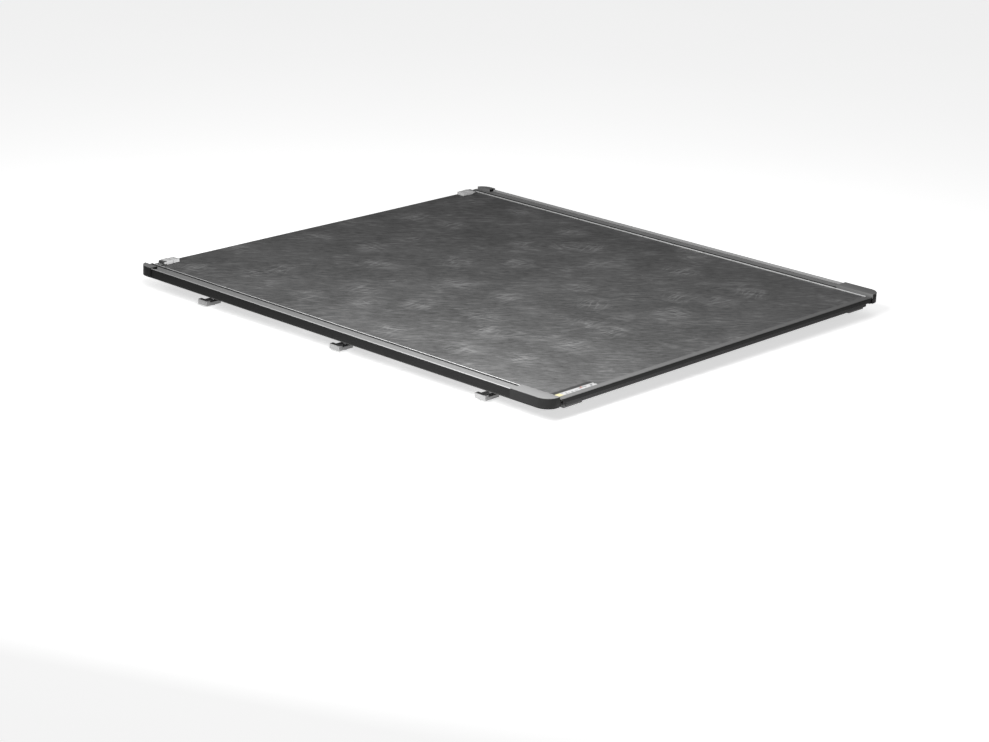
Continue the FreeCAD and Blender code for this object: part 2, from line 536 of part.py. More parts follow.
def storage_strap():
    wall = size("buckle_wall")
    across = size("buckle_width")
    inside = f"({across} - 2 * {wall})"
    body = box("socket_body", (BUCKLE_X, SOCKET_END), about(BUCKLE_Y, across),
               (BUCKLE_Z, f"{BUCKLE_Z} + Sizes.buckle_thickness"))
    arm_z = about(BUCKLE_MID, "(Sizes.buckle_thickness / 2)")
    arms = box("socket_arms", (f"{SOCKET_END} - 1", ARM_END), about(BUCKLE_Y, across), arm_z)
    slot = box("socket_slot", (SOCKET_END, f"{ARM_END} - {wall}"), about(BUCKLE_Y, inside),
               (BUCKLE_Z, f"{BUCKLE_Z} + Sizes.buckle_thickness"))
    mouth_y = about(BUCKLE_Y, f"({inside} - 2 * Sizes.prong_gap)")
    mouth = box("socket_mouth", (f"{BUCKLE_X} - 1", f"{BUCKLE_X} + Sizes.prong_length + 1"),
                mouth_y, about(BUCKLE_MID, "(Sizes.buckle_thickness - 2 * Sizes.buckle_wall)"))
    both_sides(cut("socket", fuse("socket", body, arms), slot, mouth), "buckle_socket")

    base_out = f"{BUCKLE_X} - Sizes.tongue_gap"
    base_in = f"({BUCKLE_X} - Sizes.tongue_length)"
    base = box("tongue_base", (base_in, base_out), about(BUCKLE_Y, across),
               about(BUCKLE_MID, "(Sizes.buckle_thickness - 2 * Sizes.tongue_inset)"))
    tongue_slot = box("tongue_slot",
                      (f"{base_in} + {wall}", f"{base_in} + {wall} + Sizes.tongue_eye"),
                      about(BUCKLE_Y, inside), (BUCKLE_Z, f"{BUCKLE_Z} + Sizes.buckle_thickness"))
    prong_z = about(BUCKLE_MID, "(Sizes.buckle_thickness - 2 * Sizes.buckle_wall"
                    " - 2 * Sizes.prong_gap)")
    prong_x = (f"{base_out} - 1", f"{BUCKLE_X} + Sizes.prong_length")
    edge = f"({inside} / 2 - 2 * Sizes.prong_gap)"
    prongs = [
        box("prong_right", prong_x, (f"{BUCKLE_Y} + {edge} - Sizes.prong_width",
                                     f"{BUCKLE_Y} + {edge}"), prong_z),
        box("prong_left", prong_x, (f"{BUCKLE_Y} - {edge}",
                                    f"{BUCKLE_Y} - {edge} + Sizes.prong_width"), prong_z),
        box("prong_guide", prong_x, about(BUCKLE_Y, size("prong_width")), prong_z),
    ]
    both_sides(cut("tongue", fuse("tongue", base, *prongs), tongue_slot), "buckle_tongue")

    thick = size("webbing_thickness")
    loop_in = f"({SOCKET_END} + {thick} + Sizes.webbing_gap)"
    loop_out = f"({ARM_END} + Sizes.webbing_play)"
    low = f"({BUCKLE_Z} + Sizes.webbing_inset)"
    high = f"({BUCKLE_Z} + Sizes.buckle_thickness - Sizes.webbing_inset)"
    outline = [
        (f"{loop_in} - {thick}", f"{low} - {thick}"),
        (f"{loop_out} + Sizes.strap_tail", f"{low} - {thick}"),
        (f"{loop_out} + Sizes.strap_tail", f"{low} + {thick}"),
        (f"{loop_out} + {thick}", f"{low} + {thick}"),
        (f"{loop_out} + {thick}", f"{high} + {thick}"),
        (f"{loop_in} - {thick}", f"{high} + {thick}"),
    ]
    eye = [(loop_in, low), (loop_out, low), (loop_out, high), (loop_in, high)]
    webbing = extrusion("webbing", "XZ_Plane", f"{BUCKLE_Y} - Sizes.webbing_width / 2",
                        size("webbing_width"), outline, eye)
    both_sides(webbing, "storage_strap")


def corner_label():
    top = f"({SHEET_TOP} + Sizes.label_thickness)"
    keep(box("label_patch", about(f"-({HALF} - Sizes.label_inset)", size("label_length")),
             (f"{REAR} + Sizes.tail_band",
              f"{REAR} + Sizes.tail_band + Sizes.label_width"),
             (SHEET_TOP, top)), "corner_label")


def check_document():
    """Stops at any object that failed, and at any piece that isn't a sound solid."""
    doc.recompute()
    for item in doc.Objects:
        bad = [state for state in item.State if state in ("Invalid", "Error")]
        if bad:
            raise SystemExit(f"{item.Name}: {bad}")
    for piece in parts:
        shape = piece.Shape
        if shape.isNull() or not shape.isValid() or not shape.Solids or shape.Volume <= 0:
            raise SystemExit(f"{piece.Label} isn't a sound solid")


def export():
    os.makedirs("parts", exist_ok=True)
    for piece in parts:
        piece.Shape.exportStep(os.path.join("parts", f"{piece.Label}.step"))
    print(len(parts), "pieces,", sum(len(piece.Shape.Solids) for piece in parts), "solids")


side_rail()
rail_strips()
corner_cap("rear", REAR_CAP_IN, (REAR, REAR_CAP_END),
           (f"{REAR} + Sizes.cap_wall", f"{REAR_CAP_END} + 1"),
           (f"{REAR_CAP_END} - Sizes.cap_wall", f"{REAR_CAP_END} + 2"))
corner_cap("front", FRONT_CAP_IN, (FRONT_CAP_END, FRONT),
           (f"{FRONT_CAP_END} - 1", f"{FRONT} - Sizes.cap_wall"),
           (f"{FRONT_CAP_END} - 2", f"{FRONT_CAP_END} + Sizes.cap_wall"))
fabric_sheet()
crossbows()
tail_bar()
header()
latch()
coil_spring()
clamps()
storage_strap()
corner_label()
check_document()
export()
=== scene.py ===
import json
import math

import bmesh
import bpy
import numpy as np
from mathutils import Matrix, Vector


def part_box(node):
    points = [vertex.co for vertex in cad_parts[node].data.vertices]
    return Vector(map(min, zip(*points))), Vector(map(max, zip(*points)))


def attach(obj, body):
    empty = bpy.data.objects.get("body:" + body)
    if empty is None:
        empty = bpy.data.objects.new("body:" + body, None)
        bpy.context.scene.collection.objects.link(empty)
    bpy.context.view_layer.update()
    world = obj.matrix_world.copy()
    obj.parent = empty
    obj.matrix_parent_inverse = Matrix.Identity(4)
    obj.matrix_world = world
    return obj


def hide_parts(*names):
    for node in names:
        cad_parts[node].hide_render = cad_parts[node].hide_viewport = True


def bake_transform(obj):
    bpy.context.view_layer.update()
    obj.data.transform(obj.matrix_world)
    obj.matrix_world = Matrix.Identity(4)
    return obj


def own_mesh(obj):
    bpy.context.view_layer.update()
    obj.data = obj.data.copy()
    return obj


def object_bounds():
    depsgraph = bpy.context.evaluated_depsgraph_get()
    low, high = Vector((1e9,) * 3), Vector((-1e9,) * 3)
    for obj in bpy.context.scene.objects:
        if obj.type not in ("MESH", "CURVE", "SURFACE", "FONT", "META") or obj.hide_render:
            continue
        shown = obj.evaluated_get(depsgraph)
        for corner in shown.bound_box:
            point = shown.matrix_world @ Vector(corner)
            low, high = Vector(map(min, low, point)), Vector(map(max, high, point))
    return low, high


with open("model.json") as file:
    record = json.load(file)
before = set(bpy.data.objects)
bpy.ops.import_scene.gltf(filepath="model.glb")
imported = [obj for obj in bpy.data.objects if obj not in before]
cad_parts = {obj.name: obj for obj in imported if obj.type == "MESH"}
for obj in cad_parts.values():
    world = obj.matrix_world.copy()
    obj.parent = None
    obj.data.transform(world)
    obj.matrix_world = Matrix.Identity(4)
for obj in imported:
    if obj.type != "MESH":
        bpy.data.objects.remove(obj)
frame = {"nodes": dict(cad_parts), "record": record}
cad_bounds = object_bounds()
MM = 0.001


# ---------- places, all read from the frame ----------

def low(node):
    return Vector(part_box(node)[0])


def high(node):
    return Vector(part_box(node)[1])


STRIPS = sorted(n for n in frame["nodes"] if n.startswith("cover_strip"))
BOWS = ["rear_crossbow", "middle_crossbow", "front_crossbow"]
SIDES = {"left": -1, "right": 1}
CLAMPS = [f"{side}_{spot}_clamp" for side in SIDES for spot in ("rear", "middle", "front")]

HINGES = [(high(n).y + low(m).y) / 2 for n, m in zip(STRIPS, STRIPS[1:] + ["front_panel"])]
REAR = low("tail_bar").y
FRONT = high("front_panel").y
HEM_OUT = high("front_panel").x
TAIL_SIDE = high("cover_strip_01").x
SHEET_BOTTOM = low("front_panel").z
HEM_TOP = high("front_panel").z

# The sheet: its hems, how far it keeps from the corner caps, and its mesh's step.
CAP_GAP = 1.3 * MM
END_GAP = 2 * MM
HEM_WIDTH = 45 * MM
HEM_RISE = 1.2 * MM
VINYL = 1.2 * MM
SAG = 0.9 * MM
GRID = 9 * MM
FRONT_SIDE = low("right_front_corner_cap").x - CAP_GAP
HEM_IN = HEM_OUT - HEM_WIDTH
WIDE_FROM = high("right_rear_corner_cap").y + END_GAP
WIDE_TO = low("right_front_corner_cap").y - END_GAP
FIELD_TOP = SHEET_BOTTOM + VINYL + 0.2 * MM

# The hem's sewn grooves and its dark channel of painted shade, measured outwards from its inner
# edge, and its welt.
STITCH_INSETS = (7 * MM, 40 * MM)
GROOVE_DEPTHS = (0.9 * MM, 0.55 * MM)
GROOVE_WIDTHS = (3.4 * MM, 1.1 * MM)
CHANNEL = (2.4 * MM, 11.6 * MM)
STITCH_PITCH = 5 * MM
THREAD = 0.45 * MM
WELT_RADIUS = 1.8 * MM
WELT_SIDES = 8

# The rails' section, the caps' rounded corners, and the small made pieces.
LEDGE_REACH, LEDGE_LOW, LEDGE_TOP = 18 * MM, 3 * MM, 6 * MM
LIP_WIDTH, LIP_HEIGHT = 6 * MM, 12 * MM
CORNER_RADIUS = 40 * MM
# Above this height the walls that face the cloth get a painted highlight.
PAINTED_HIGHLIGHT_ABOVE = 16 * MM
SEAL_RIBS = 12
SEAL_NECK = 2 * MM
SPRING_WIRE = 0.45 * MM
SPRING_TURNS = 6
WEBBING = 1.3 * MM
LOOP_LENGTH = 10.4 * MM
STICKER_RADIUS = 3 * MM
STICKER_THICK = 0.5 * MM


# ---------- node helpers ----------

class Nodes:
    """A short way to lay out one node tree."""

    def __init__(self, tree):
        self.tree = tree

    def feed(self, socket, given):
        """Links another node's output to the socket, or sets its plain value."""
        if isinstance(given, bpy.types.NodeSocket):
            self.tree.links.new(given, socket)
        else:
            socket.default_value = given

    def add(self, kind, inputs=None, **settings):
        node = self.tree.nodes.new(kind)
        for key, setting in settings.items():
            setattr(node, key, setting)
        for key, given in (inputs or {}).items():
            self.feed(node.inputs[key], given)
        return node

    def math(self, operation, a, b=0.0, clamp=False):
        node = self.add("ShaderNodeMath", {0: a, 1: b}, operation=operation, use_clamp=clamp)
        return node.outputs[0]

    def noise(self, place, scale, detail=3.0, roughness=0.5, distortion=0.0):
        node = self.add("ShaderNodeTexNoise", {
            "Vector": place, "Scale": scale, "Detail": detail, "Roughness": roughness,
            "Distortion": distortion})
        return node.outputs["Fac"]

    def stretch(self, place, scale):
        return self.add("ShaderNodeMapping", {"Vector": place, "Scale": scale}).outputs[0]

    def turned(self, place, angle, scale):
        """Turned about Z first and drawn out after, so that lines run at the angle."""
        node = self.add("ShaderNodeVectorRotate", {"Vector": place, "Angle": angle},
                        rotation_type="Z_AXIS")
        return self.stretch(node.outputs[0], scale)

    def mix(self, share, a, b):
        node = self.add("ShaderNodeMix", data_type="RGBA")
        for key, given in ((0, share), (6, a), (7, b)):
            self.feed(node.inputs[key], given)
        return node.outputs[2]


def grey(level, tint=(1.0, 1.0, 1.0)):
    return (level * tint[0], level * tint[1], level * tint[2], 1.0)


def group(name, sockets_in, sockets_out):
    """An empty shader group with the named inputs (name: default) and outputs (name: kind)."""
    tree = bpy.data.node_groups.new(name, "ShaderNodeTree")
    for key, default in sockets_in.items():
        kind = "NodeSocketVector" if default is None else "NodeSocketFloat"
        socket = tree.interface.new_socket(key, in_out="INPUT", socket_type=kind)
        if default is not None:
            socket.default_value = default
    for key in sockets_out:
        tree.interface.new_socket(key, in_out="OUTPUT", socket_type="NodeSocketFloat")
    made = Nodes(tree)
    return made, made.add("NodeGroupInput").outputs, made.add("NodeGroupOutput").inputs


def ridge_group():
    """Thin raised lines along a noise's middle level, as creases in coated cloth."""
    n, given, out = group("crease_lines", {"Place": None, "Scale": 40.0, "Sharpness": 9.0,
                                           "Bend": 1.0}, ["Lines"])
    field = n.noise(given["Place"], given["Scale"], 2.5, 0.45, given["Bend"])
    away = n.math("ABSOLUTE", n.math("SUBTRACT", field, 0.5))
    near = n.math("SUBTRACT", 1.0, n.math("MULTIPLY", away, given["Sharpness"]), clamp=True)
    n.tree.links.new(n.math("POWER", near, 1.6), out["Lines"])
    return n.tree


def speckle_group():
    """The fine texture of powder coat and moulded plastic, with a soft change of tone."""
    n, given, out = group("fine_texture", {"Place": None, "Scale": 900.0, "Dust": 0.5},
                          ["Height", "Tone"])
    fine = n.noise(given["Place"], given["Scale"], 2.0, 0.5)
    cloud = n.noise(given["Place"], 7.0, 4.0, 0.6)
    streak = n.noise(n.stretch(given["Place"], (60, 6, 60)), 1.0, 4.0, 0.6)
    tone = n.math("MULTIPLY", n.math("ADD", cloud, streak), given["Dust"])
    n.tree.links.new(fine, out["Height"])
    n.tree.links.new(tone, out["Tone"])
    return n.tree


def weave_group():
    """Over-and-under threads on a flat cloth."""
    n, given, out = group("woven_threads", {"Place": None, "Threads": 900.0}, ["Height"])
    parts = n.add("ShaderNodeSeparateXYZ", {0: given["Place"]})
    across = n.math("SINE", n.math("MULTIPLY", parts.outputs[0], given["Threads"]))
    along = n.math("SINE", n.math("MULTIPLY", parts.outputs[1], given["Threads"]))
    n.tree.links.new(n.math("MULTIPLY", across, along), out["Height"])
    return n.tree


# ---------- material helpers ----------

def material(name):
    made = bpy.data.materials.new(name)
    made.use_nodes = True
    n = Nodes(made.node_tree)
    shader = made.node_tree.nodes["Principled BSDF"]
    return made, n, shader


def place_of(n, kind="Object"):
    return n.add("ShaderNodeTexCoord").outputs[kind]


def use(n, tree, **inputs):
    """Places a group in a material or in another group, and gives its outputs."""
    node = n.add("ShaderNodeGroup", node_tree=tree)
    for key, given in inputs.items():
        n.feed(node.inputs[key], given)
    return node.outputs


def bump(n, shader, height, distance, strength=1.0):
    node = n.add("ShaderNodeBump", {"Height": height, "Distance": distance, "Strength": strength})
    n.tree.links.new(node.outputs[0], shader.inputs["Normal"])


def connect(n, shader, **sockets):
    """Links outputs to the shader's sockets, named with _ for a space."""
    for key, given in sockets.items():
        n.tree.links.new(given, shader.inputs[key.replace("_", " ")])


def settings(shader, **values):
    """Sets what is the same all over on the shader's own sockets."""
    for key, given in values.items():
        shader.inputs[key.replace("_", " ")].default_value = given


def scuff_group():
    """Small patches of fine crossing marks, each patch turned its own way."""
    n, given, out = group("crossed_marks", {"Place": None, "Patches": 4.2, "Reach": 0.075},
                          ["Lines"])
    cell = n.add("ShaderNodeTexVoronoi", {"Vector": given["Place"], "Scale": given["Patches"],
                                          "Randomness": 0.85}, voronoi_dimensions="2D").outputs
    local = n.add("ShaderNodeVectorMath", {0: given["Place"], 1: cell["Position"]},
                  operation="SUBTRACT").outputs[0]
    chance = n.add("ShaderNodeSeparateColor", {0: cell["Color"]}).outputs
    far = n.math("DIVIDE", n.add("ShaderNodeVectorMath", {0: local}, operation="LENGTH").outputs[1],
                 given["Reach"])
    ragged = n.math("MULTIPLY", n.noise(given["Place"], 24.0, 3.0, 0.6), 0.9)
    patch = n.math("SUBTRACT", n.math("SUBTRACT", 1.45, ragged), far, clamp=True)
    lines = 0.0
    for lean, weight in ((0.0, 1.0), (1.15, 0.8)):
        turn = n.math("ADD", n.math("MULTIPLY", chance[0], 0.9), lean - 0.35)
        drawn = use(n, CREASES, Place=n.turned(given["Place"], turn, (7, 46, 1)), Scale=1.0,
                    Sharpness=11.5, Bend=0.2)["Lines"]
        lines = n.math("ADD", n.math("MULTIPLY", drawn, weight), lines)
    n.tree.links.new(n.math("MULTIPLY", lines, patch), out["Lines"])
    return n.tree


def grain_group():
    """The sheet's own grain: a calm ground, fine creases all over and crossed marks in patches."""
    n, given, out = group("cloth_grain", {"Place": None, "Veins": 1.0, "Clouds": 1.0},
                          ["Tone", "Height"])
    place = given["Place"]
    warp = n.add("ShaderNodeTexNoise", {"Vector": place, "Scale": 14.0, "Detail": 3.0})
    shifted = n.add("ShaderNodeVectorMath", {0: warp.outputs["Color"], 1: (0.5, 0.5, 0.5)},
                    operation="SUBTRACT").outputs[0]
    shifted = n.add("ShaderNodeVectorMath", {0: shifted, 1: (0.03, 0.03, 0.0)},
                    operation="MULTIPLY").outputs[0]
    bent = n.add("ShaderNodeVectorMath", {0: place, 1: shifted}, operation="ADD").outputs[0]
    fine = n.noise(n.turned(bent, 0.8, (30, 80, 1)), 1.0, 5.0, 0.7)
    fine = n.math("MULTIPLY", n.math("SUBTRACT", fine, 0.5), 1.1)
    creases = use(n, CREASES, Place=n.turned(bent, 0.75, (6, 30, 1)), Scale=1.0,
                  Sharpness=14.0, Bend=0.5)["Lines"]
    spread = n.noise(place, 7.0, 3.0, 0.55)
    spread = n.math("MULTIPLY", n.math("SUBTRACT", spread, 0.40), 4.0, clamp=True)
    creases = n.math("MULTIPLY", creases, spread)
    marks = use(n, SCUFFS, Place=bent)["Lines"]
    lines = n.math("ADD", marks, n.math("MULTIPLY", creases, 0.65))
    lines = n.math("MULTIPLY", lines, given["Veins"])
    cloud = n.noise(place, 3.6, 3.0, 0.5)
    cloud = n.math("MULTIPLY", n.math("SUBTRACT", cloud, 0.5),
                   n.math("MULTIPLY", given["Clouds"], 0.5))
    tone = n.math("ADD", n.math("ADD", 0.32, n.math("MULTIPLY", fine, given["Veins"])),
                  n.math("ADD", cloud, n.math("MULTIPLY", lines, 0.6)), clamp=True)
    pebble = n.add("ShaderNodeTexVoronoi", {"Vector": bent, "Scale": 420.0}).outputs["Distance"]
    height = n.math("ADD", n.math("MULTIPLY", lines, 0.8), n.math("MULTIPLY", pebble, 0.3))
    n.tree.links.new(tone, out["Tone"])
    n.tree.links.new(n.math("ADD", height, n.math("MULTIPLY", fine, 0.5)), out["Height"])
    return n.tree


# ---------- finishes ----------

def grained_vinyl(name, dark, light, veins, clouds, roughness, specular):
    """Coated cloth with the sheet's grain in its colour, gloss and relief."""
    made, n, shader = material(name)
    grain = use(n, GRAIN, Place=place_of(n, "UV"), Veins=veins, Clouds=clouds)
    connect(n, shader, Base_Color=n.mix(grain["Tone"], dark, light),
            Roughness=n.math("SUBTRACT", roughness, n.math("MULTIPLY", grain["Tone"], 0.12)))
    settings(shader, Specular_IOR_Level=specular)
    bump(n, shader, grain["Height"], 0.0009, 0.7)
    return made


def coated(name, side, top, roughness, specular, scale):
    """A satin coat, dark on its walls, with painted light: a paler colour painted on what faces up,
    and a painted highlight high on the walls that face the cloth's edge."""
    made, n, shader = material(name)
    place = place_of(n)
    texture = use(n, SPECKLE, Place=place, Scale=scale, Dust=0.5)
    facing = n.add("ShaderNodeSeparateXYZ", {0: n.add("ShaderNodeNewGeometry").outputs["Normal"]})
    # Painted light: up-facing faces take the paler top colour, as if lit from above.
    painted_light = n.math("MULTIPLY", n.math("SUBTRACT", facing.outputs[2], 0.35), 2.0, clamp=True)
    spot = n.add("ShaderNodeSeparateXYZ", {0: place}).outputs
    # Painted highlight: walls facing the cloth's edge, above a set height, take the paler top colour
    # too.
    inward = n.math("LESS_THAN", n.math("MULTIPLY", spot[0], facing.outputs[0]), -0.4)
    painted_highlight = n.math("MULTIPLY", inward, n.math("GREATER_THAN", spot[2], PAINTED_HIGHLIGHT_ABOVE))
    painted_light = n.math("MAXIMUM", painted_light, painted_highlight)
    # Streaks that vary the paler painted top colour, a painted sheen.
    lines = n.noise(n.stretch(place, (420, 1.5, 420)), 1.0, 4.0, 0.6)
    painted_sheen_streaks = n.math("ADD", n.math("MULTIPLY", lines, 0.5), n.math("MULTIPLY", texture["Tone"], 0.5))
    bright = n.mix(painted_sheen_streaks, grey(top[0]), grey(top[1]))
    walls = n.mix(texture["Tone"], grey(side[0]), grey(side[1]))
    connect(n, shader, Base_Color=n.mix(painted_light, walls, bright),
            Roughness=n.math("ADD", n.math("MULTIPLY", texture["Tone"], 0.12), roughness - 0.06))
    settings(shader, Specular_IOR_Level=specular)
    bump(n, shader, texture["Height"], 0.0001, 0.5)
    return made


def speckled(name, dark, light, roughness, scale, depth, metallic=0.0, specular=0.5, dust=0.5):
    """Moulded plastic, rubber or cast metal with a fine texture."""
    made, n, shader = material(name)
    texture = use(n, SPECKLE, Place=place_of(n), Scale=scale, Dust=dust)
    tone = n.math("SUBTRACT", texture["Tone"], 0.12, clamp=True)
    connect(n, shader, Base_Color=n.mix(tone, dark, light),
            Roughness=n.math("ADD", n.math("MULTIPLY", texture["Tone"], 0.12), roughness - 0.06))
    settings(shader, Metallic=metallic, Specular_IOR_Level=specular)
    bump(n, shader, texture["Height"], depth, 0.5)
    return made


def brushed(name, dark, light, roughness, grain):
    """Bare metal with fine lines along its drawing direction."""
    made, n, shader = material(name)
    place = place_of(n)
    lines = n.noise(n.stretch(place, grain), 1.0, 5.0, 0.65)
    cloud = n.noise(place, 18.0, 4.0, 0.6)
    tone = n.math("ADD", n.math("MULTIPLY", lines, 0.5), n.math("MULTIPLY", cloud, 0.4))
    connect(n, shader, Base_Color=n.mix(tone, dark, light),
            Roughness=n.math("ADD", n.math("MULTIPLY", lines, 0.18), roughness - 0.08))
    settings(shader, Metallic=1.0)
    bump(n, shader, lines, 0.00006, 0.4)
    return made


def woven(name, dark, light, threads, kind="UV"):
    """Knitted or woven cloth with a slight fuzz."""
    made, n, shader = material(name)
    place = place_of(n, kind)
    height = use(n, WEAVE, Place=place, Threads=threads)["Height"]
    fuzz = n.noise(place, 600.0, 2.0, 0.5)
    tone = n.math("ADD", n.math("MULTIPLY", height, 0.35), fuzz, clamp=True)
    connect(n, shader, Base_Color=n.mix(tone, dark, light),
            Roughness=n.math("ADD", n.math("MULTIPLY", fuzz, 0.1), 0.78))
    settings(shader, Sheen_Weight=0.25, Sheen_Roughness=0.4)
    bump(n, shader, height, 0.0003, 0.8)
    return made


def printed_film():
    """A plain sticker: a grey field with plain blocks, a dark band on one side, a warm end and
    a small dot."""
    made, n, shader = material("label_film")
    film = place_of(n, "UV")
    parts = n.add("ShaderNodeSeparateXYZ", {0: film})
    across, along = parts.outputs[0], parts.outputs[1]
    band = n.math("GREATER_THAN", along, 0.60)
    end = n.math("LESS_THAN", across, 0.13)
    dot_x = n.math("ABSOLUTE", n.math("SUBTRACT", across, 0.66))
    dot_y = n.math("ABSOLUTE", n.math("SUBTRACT", along, 0.48))
    dot = n.math("MULTIPLY", n.math("LESS_THAN", dot_x, 0.02), n.math("LESS_THAN", dot_y, 0.1))
    blotch = n.math("GREATER_THAN", n.noise(n.stretch(film, (14, 3, 1)), 1.0, 1.0), 0.56)
    block = n.math("MULTIPLY", blotch, n.math("LESS_THAN", along, 0.5))
    block = n.math("MULTIPLY", block, n.math("GREATER_THAN", along, 0.16))
    colour = n.mix(n.math("MULTIPLY", block, 0.8), grey(0.36), grey(0.10))
    colour = n.mix(end, colour, grey(0.42, (1.0, 0.92, 0.55)))
    colour = n.mix(dot, colour, grey(0.25, (1.0, 0.3, 0.2)))
    connect(n, shader, Base_Color=n.mix(band, colour, grey(0.03)))
    settings(shader, Roughness=0.35)
    scratch = n.noise(place_of(n), 300.0, 2.0)
    bump(n, shader, scratch, 0.00005, 0.3)
    return made


CREASES, SPECKLE, WEAVE = ridge_group(), speckle_group(), weave_group()
SCUFFS = scuff_group()
GRAIN = grain_group()
MATERIALS = {
    "vinyl": grained_vinyl("grained_vinyl", grey(0.030), grey(0.165), 1.0, 1.0, 0.66, 0.22),
    "hem": grained_vinyl("hem_vinyl", grey(0.13), grey(0.23), 0.15, 0.3, 0.5, 0.4),
    # The channel's near-black is painted shade along the hem's inner groove.
    "channel": grained_vinyl("painted_shade_channel", grey(0.008), grey(0.02), 0.1, 0.3, 0.6, 0.2),
    # The welt's pale grey is a painted highlight along each hem's inner edge.
    "welt": grained_vinyl("hem_welt", grey(0.38), grey(0.58), 0.1, 0.3, 0.4, 0.5),
    "knit": woven("knitted_backing", grey(0.02), grey(0.055), 2600.0),
    # Each coat's second pair of greys is painted light: the paler colour of up-facing faces and of
    # high inward walls.
    "rail": coated("rail_powder_coat", (0.003, 0.009), (0.20, 0.36), 0.45, 0.06, 1400.0),
    "tail": coated("tail_bar_coat", (0.003, 0.010), (0.08, 0.16), 0.45, 0.06, 1400.0),
    "cap": coated("moulded_cap", (0.004, 0.012), (0.115, 0.185), 0.5, 0.08, 1100.0),
    "latch": speckled("moulded_black", grey(0.012), grey(0.03), 0.5, 1100.0, 0.00012),
    "rubber": speckled("seal_rubber", grey(0.006), grey(0.018), 0.7, 700.0, 0.0002, specular=0.3),
    "mill": brushed("mill_aluminium", grey(0.40), grey(0.64), 0.38, (4, 900, 900)),
    "cast": speckled("cast_aluminium", grey(0.24), grey(0.40), 0.52, 500.0, 0.0003, 1.0),
    "zinc": brushed("zinc_plate", grey(0.36, (1, 1, 1.03)), grey(0.58), 0.3, (500, 500, 60)),
    "hooks": woven("hook_tape_cloth", grey(0.008), grey(0.03), 2200.0, "Object"),
    "webbing": woven("strap_webbing", grey(0.008), grey(0.03), 3000.0),
    "buckle": speckled("buckle_plastic", grey(0.42), grey(0.62), 0.32, 900.0, 0.00008, dust=0.6),
    "thread": speckled("sewing_thread", grey(0.02), grey(0.05), 0.6, 2000.0, 0.00005),
    "label": printed_film(),
}


# ---------- mesh helpers ----------

def piece_from(name, points, faces, *finishes, flat=False):
    mesh = bpy.data.meshes.new(name)
    mesh.from_pydata([tuple(p) for p in points], [], faces)
    for finish in finishes:
        mesh.materials.append(MATERIALS[finish])
    mesh.shade_flat() if flat else mesh.shade_smooth()
    made = bpy.data.objects.new(name, mesh)
    bpy.context.collection.objects.link(made)
    return made


def outwards(made):
    """Turns every face of a closed piece outwards."""
    work = bmesh.new()
    work.from_mesh(made.data)
    bmesh.ops.recalc_face_normals(work, faces=work.faces)
    work.to_mesh(made.data)
    work.free()


def stand_for(made, body, slot, *nodes):
    """Rides a finished piece on its body, in place of the CAD nodes it stands for."""
    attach(made, body)
    if nodes:
        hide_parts(*nodes)
    return made


def body_of(node):
    bodies = frame["record"]["behaviour"]["bodies"]
    return next(body for body, nodes in bodies.items() if node in nodes)


def softened(node, finish, slot, width, segments=2):
    """The CAD piece again, with its hard edges rounded."""
    source = frame["nodes"][node]
    work = bmesh.new()
    work.from_mesh(source.data)
    work.transform(source.matrix_world)
    bmesh.ops.remove_doubles(work, verts=work.verts, dist=1e-6)
    bmesh.ops.dissolve_limit(work, angle_limit=math.radians(1), verts=work.verts,
                             edges=work.edges)
    mesh = bpy.data.meshes.new(f"{node}_finished")
    work.to_mesh(mesh)
    work.free()
    mesh.materials.append(MATERIALS[finish])
    mesh.shade_smooth()
    made = bpy.data.objects.new(f"{node}_finished", mesh)
    bpy.context.collection.objects.link(made)
    bevel = made.modifiers.new("edges", "BEVEL")
    bevel.width = width
    bevel.segments = segments
    bevel.limit_method = "ANGLE"
    bevel.angle_limit = math.radians(30)
    bevel.harden_normals = True
    return stand_for(made, body_of(node), slot, node)


def rounded(points, radii, steps=4):
    """A closed outline with each corner replaced by an arc of its own radius."""
    outline = []
    count = len(points)
    for i, radius in enumerate(radii):
        corner = Vector(points[i])
        before = Vector(points[i - 1]) - corner
        after = Vector(points[(i + 1) % count]) - corner
        if radius <= 0:
            outline.append(corner)
            continue
        half = before.angle(after) / 2
        reach = min(radius / math.tan(half), before.length * 0.45, after.length * 0.45)
        start, end = corner + before.normalized() * reach, corner + after.normalized() * reach
        for step in range(steps + 1):
            t = step / steps
            outline.append(start.lerp(corner, t).lerp(corner.lerp(end, t), t))
    return outline


def swept(name, outline, ends, axis, finish):
    """An outline drawn along X or Y between two ends, closed at both."""
    count = len(outline)
    points = [(at, a, b) if axis == "x" else (a, at, b) for at in ends for a, b in outline]
    faces = [(i, (i + 1) % count, count + (i + 1) % count, count + i) for i in range(count)]
    faces += [tuple(range(count)), tuple(range(count, 2 * count))[::-1]]
    made = piece_from(name, points, faces, finish)
    outwards(made)
    made.data.set_sharp_from_angle(angle=math.radians(32))
    return made


# ---------- the sheet ----------

def columns(side):
    """Where the sheet's mesh lines run lengthwise, closer together at the hem's edges and
    grooves."""
    field = list(np.arange(0, HEM_IN - 12 * MM, GRID))
    hem = [HEM_IN + step * MM for step in (
        -9, -6, -4, -3, -2, -1, 0, 1, 2.2, 3.2, 4.4, 5.7, 7, 8.3, 9.6, 10.8, 12,
        18, 25, 32, 36, 38, 39, 40, 41, 42)]
    half = [x for x in field + hem if x < side - 1.6 * MM]
    half += [side - 1.2 * MM, side - 0.5 * MM, side - 0.1 * MM]
    return np.array([-x for x in half[:0:-1]] + half)


